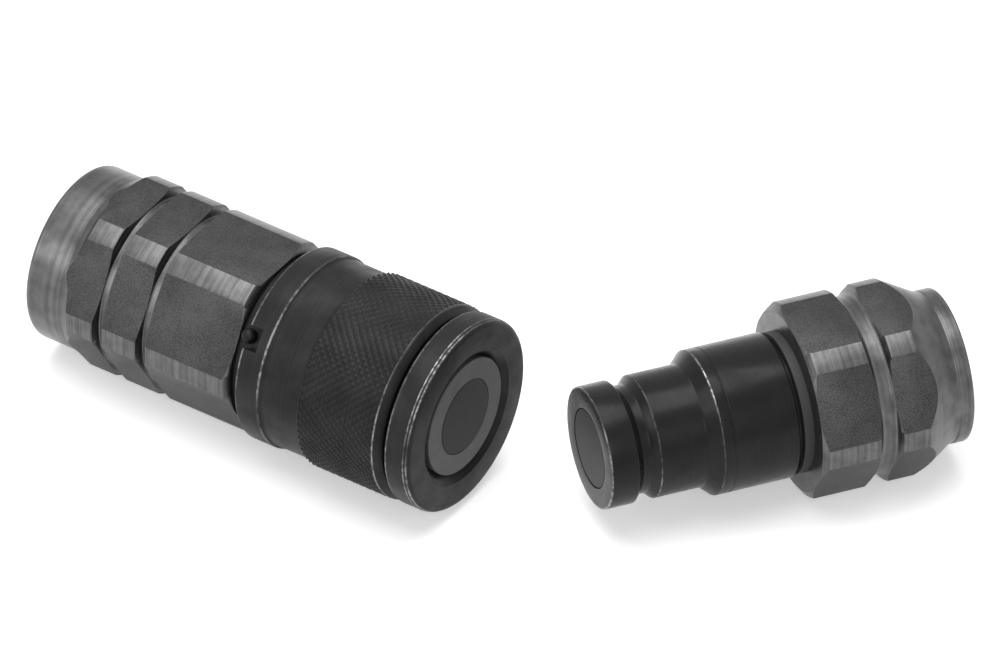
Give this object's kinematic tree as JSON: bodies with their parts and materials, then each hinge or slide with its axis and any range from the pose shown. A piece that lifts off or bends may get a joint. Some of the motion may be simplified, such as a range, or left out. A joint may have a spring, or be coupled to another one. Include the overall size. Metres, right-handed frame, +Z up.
{
  "type": "flat-face hydraulic quick coupling",
  "caption": "Uncoupled flat-face quick coupling: a socket half with a knurled locking sleeve and a plug half with a grooved nose, each on a hexagonal threaded adapter.",
  "frame": {"origin": "middle of the footprint of the two halves as they lie side by side, on the surface they lie on", "axes": "+Z up; +X from the socket's rear end to the plug's rear end; +Y away from the front faces' side"},
  "size_m": [0.1846, 0.0822, 0.0415],
  "materials": {
    "black_steel": "black phosphate, satin, worn bright on the edges",
    "plug_steel": "hardened, black and glossy with turning streaks",
    "plated_steel": "plated, granular on the flats and smooth where turned",
    "grey_steel": "matte grey",
    "stem_steel": "dark matte",
    "inner_steel": "machined",
    "spring_steel": "drawn wire",
    "ball_steel": "ground and polished",
    "seal_rubber": "matte black",
    "backup_plastic": "ivory"
  },
  "bodies": {
    "housings": {"socket_body": "black_steel", "sleeve_spring": "spring_steel", "sleeve_guide_ring": "black_steel", "sleeve_lock_ball": "ball_steel", "locking_balls": "ball_steel", "nose_seal": "seal_rubber", "nose_backup_ring": "backup_plastic", "valve_sleeve_spring": "spring_steel", "socket_stem": "stem_steel", "stem_seal": "seal_rubber", "stem_spider": "inner_steel", "stem_nut": "inner_steel", "socket_body_seal": "seal_rubber", "socket_adapter": "plated_steel", "plug_body": "plug_steel", "plug_neck_ring": "seal_rubber", "plug_body_seal": "seal_rubber", "plug_adapter": "plated_steel", "plug_valve_spring": "spring_steel", "plug_guide": "inner_steel"},
    "sleeve": {"locking_sleeve": "black_steel"},
    "outer_valve": {"valve_sleeve": "grey_steel"},
    "centre_valve": {"plug_valve": "stem_steel", "plug_valve_seal": "seal_rubber"}
  },
  "joints": [
    {"name": "sleeve_slide", "type": "slide", "parent": "housings", "child": "sleeve", "axis": [-0.8284, 0.5587, -0.0403], "range_m": [0, 0.002], "stiffness_N_per_m": 3000, "springref_m": -0.004, "deforming": ["sleeve_spring"]},
    {"name": "outer_valve_slide", "type": "slide", "parent": "housings", "child": "outer_valve", "axis": [-0.8284, 0.5587, -0.0403], "range_m": [0, 0.0195], "stiffness_N_per_m": 1500, "springref_m": -0.012, "deforming": ["valve_sleeve_spring"]},
    {"name": "centre_valve_slide", "type": "slide", "parent": "housings", "child": "centre_valve", "axis": [0.9265, 0.3762, 0], "range_m": [0, 0.0195], "stiffness_N_per_m": 1200, "springref_m": -0.012, "deforming": ["plug_valve_spring"]}
  ]
}
